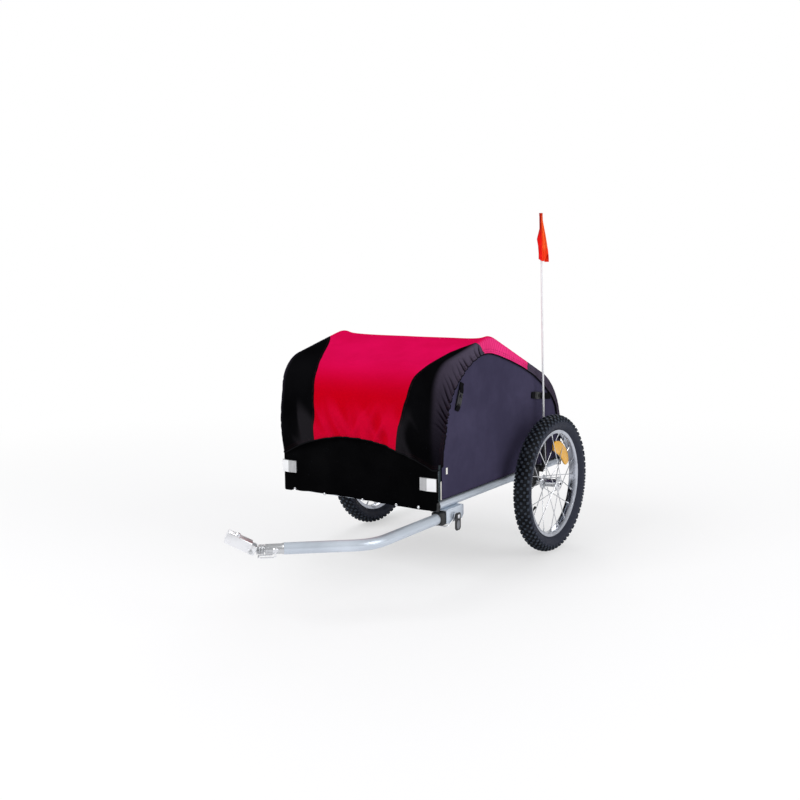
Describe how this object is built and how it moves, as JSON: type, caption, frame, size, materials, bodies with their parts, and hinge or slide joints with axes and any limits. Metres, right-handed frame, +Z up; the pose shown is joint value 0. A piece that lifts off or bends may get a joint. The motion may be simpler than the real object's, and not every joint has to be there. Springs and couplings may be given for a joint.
{
  "type": "bike cargo trailer",
  "caption": "Two-wheeled bicycle cargo trailer with an arched cloth cover over a tube frame, a bent tow arm with sprung clamp hitch, and a pole with a furled flag.",
  "frame": {"origin": "on the ground under the middle of the trailer's box", "axes": "+Z up, travel towards -Y, tow arm on the +X side, the trailer's left"},
  "size_m": [0.704, 1.2408, 0.9854],
  "materials": {
    "silver_tube": "silver powder coat",
    "bright_steel": "zinc plated steel",
    "black_plastic": "black moulded plastic",
    "black_rubber": "black rubber",
    "black_cloth": "black coated cloth",
    "slate_cloth": "slate coated cloth",
    "red_cloth": "red coated cloth with black hem",
    "tyre": "black tyre rubber",
    "alloy": "plain alloy",
    "amber": "amber reflector",
    "white_lens": "clear white reflector",
    "red_lens": "red reflector",
    "white_pole": "white glass fibre rod",
    "orange_cloth": "orange flag cloth",
    "floor_cloth": "black floor panel"
  },
  "bodies": {
    "frame": {"left_side_rail": "silver_tube", "left_hoop": "silver_tube", "left_axle_receiver": "silver_tube", "left_side_panel": "slate_cloth", "front_left_corner": "black_plastic", "front_left_buckle": "black_plastic", "front_left_reflector": "white_lens", "rear_left_corner": "black_plastic", "rear_left_buckle": "black_plastic", "rear_left_reflector": "red_lens", "right_side_rail": "silver_tube", "right_hoop": "silver_tube", "right_axle_receiver": "silver_tube", "right_side_panel": "slate_cloth", "front_right_corner": "black_plastic", "front_right_buckle": "black_plastic", "front_right_reflector": "white_lens", "rear_right_corner": "black_plastic", "rear_right_buckle": "black_plastic", "rear_right_reflector": "red_lens", "front_cross_tube": "silver_tube", "front_panel": "black_cloth", "rear_cross_tube": "silver_tube", "rear_panel": "black_cloth", "front_bar": "silver_tube", "ridge_bar": "silver_tube", "axle_cross_tube": "silver_tube", "floor_panel": "floor_cloth", "tow_bracket": "silver_tube", "tow_arm": "silver_tube", "tow_collar": "black_plastic", "hitch_plug": "bright_steel", "hitch_spring": "bright_steel", "flag_socket": "black_plastic"},
    "left_axle": {"left_axle": "bright_steel"},
    "left_axle_button": {"left_axle_button": "black_plastic"},
    "left_wheel": {"left_tyre": "tyre", "left_rim": "alloy", "left_inner_tube": "black_rubber", "left_hub": "bright_steel", "left_spoke_reflector": "amber"},
    "right_axle": {"right_axle": "bright_steel"},
    "right_axle_button": {"right_axle_button": "black_plastic"},
    "right_wheel": {"right_tyre": "tyre", "right_rim": "alloy", "right_inner_tube": "black_rubber", "right_hub": "bright_steel", "right_spoke_reflector": "amber"},
    "lock_pin": {"lock_pin": "bright_steel"},
    "lock_pin_ring": {"lock_pin_ring": "bright_steel"},
    "lock_pin_tab": {"lock_pin_tab": "black_plastic"},
    "hitch_pin": {"hitch_pin": "bright_steel"},
    "hitch_pin_bail": {"hitch_pin_bail": "bright_steel"},
    "hitch_knuckle": {"hitch_knuckle": "bright_steel"},
    "hitch_clamp": {"hitch_clamp": "bright_steel"},
    "hitch_clamp_bolt": {"hitch_clamp_bolt": "bright_steel"},
    "flag": {"flag_pole": "white_pole", "flag": "orange_cloth"},
    "cover": {"cover": "red_cloth"}
  },
  "joints": [
    {"name": "left_axle_pull", "type": "slide", "parent": "frame", "child": "left_axle", "axis": [1, 0, 0], "range_m": [0, 0.1]},
    {"name": "left_axle_button_press", "type": "slide", "parent": "left_axle", "child": "left_axle_button", "axis": [-1, 0, 0], "range_m": [0, 0.002], "stiffness_N_per_m": 400},
    {"name": "left_wheel_spin", "type": "hinge", "parent": "left_axle", "child": "left_wheel", "pos_m": [0.32, 0.41262, 0.202], "axis": [1, 0, 0], "continuous": true},
    {"name": "right_axle_pull", "type": "slide", "parent": "frame", "child": "right_axle", "axis": [-1, 0, 0], "range_m": [0, 0.1]},
    {"name": "right_axle_button_press", "type": "slide", "parent": "right_axle", "child": "right_axle_button", "axis": [1, 0, 0], "range_m": [0, 0.002], "stiffness_N_per_m": 400},
    {"name": "right_wheel_spin", "type": "hinge", "parent": "right_axle", "child": "right_wheel", "pos_m": [-0.32, 0.41262, 0.202], "axis": [-1, 0, 0], "continuous": true},
    {"name": "lock_pin_pull", "type": "slide", "parent": "frame", "child": "lock_pin", "axis": [1, 0, 0], "range_m": [0, 0.06]},
    {"name": "lock_pin_ring_swing", "type": "hinge", "parent": "lock_pin", "child": "lock_pin_ring", "pos_m": [0.2465, -0.04438, 0.195], "axis": [1, 0, 0], "range_deg": [0, 60]},
    {"name": "lock_pin_tab_swing", "type": "hinge", "parent": "lock_pin", "child": "lock_pin_tab", "pos_m": [0.2465, -0.04438, 0.195], "axis": [1, 0, 0], "range_deg": [-60, 60]},
    {"name": "hitch_pin_pull", "type": "slide", "parent": "frame", "child": "hitch_pin", "axis": [0.6494, -0.7604, 0], "range_m": [0, 0.05]},
    {"name": "hitch_pin_bail_swing", "type": "hinge", "parent": "hitch_pin", "child": "hitch_pin_bail", "pos_m": [0.07191, -0.53049, 0.195], "axis": [0.6494, -0.7604, 0], "range_deg": [0, 45]},
    {"name": "hitch_yaw", "type": "hinge", "parent": "frame", "child": "hitch_knuckle", "pos_m": [0.04682, -0.55193, 0.195], "axis": [0, 0, 1], "range_deg": [-30, 30], "stiffness_Nm_per_rad": 8, "deforming": ["hitch_spring"]},
    {"name": "hitch_pitch", "type": "hinge", "parent": "hitch_knuckle", "child": "hitch_clamp", "pos_m": [0.02857, -0.56751, 0.195], "axis": [0.6494, -0.7604, 0], "range_deg": [-25, 25]},
    {"name": "clamp_bolt_turn", "type": "hinge", "parent": "hitch_clamp", "child": "hitch_clamp_bolt", "pos_m": [0.00726, -0.58571, 0.23176], "axis": [0.357, 0.3049, 0.8829], "continuous": true},
    {"name": "flag_pole_lift", "type": "slide", "parent": "frame", "child": "flag", "axis": [0, -0.0448, 0.999], "range_m": [0, 0.15]},
    {"name": "cover_lift", "type": "slide", "parent": "frame", "child": "cover", "axis": [0, 0, 1], "range_m": [0, 0.35]}
  ]
}
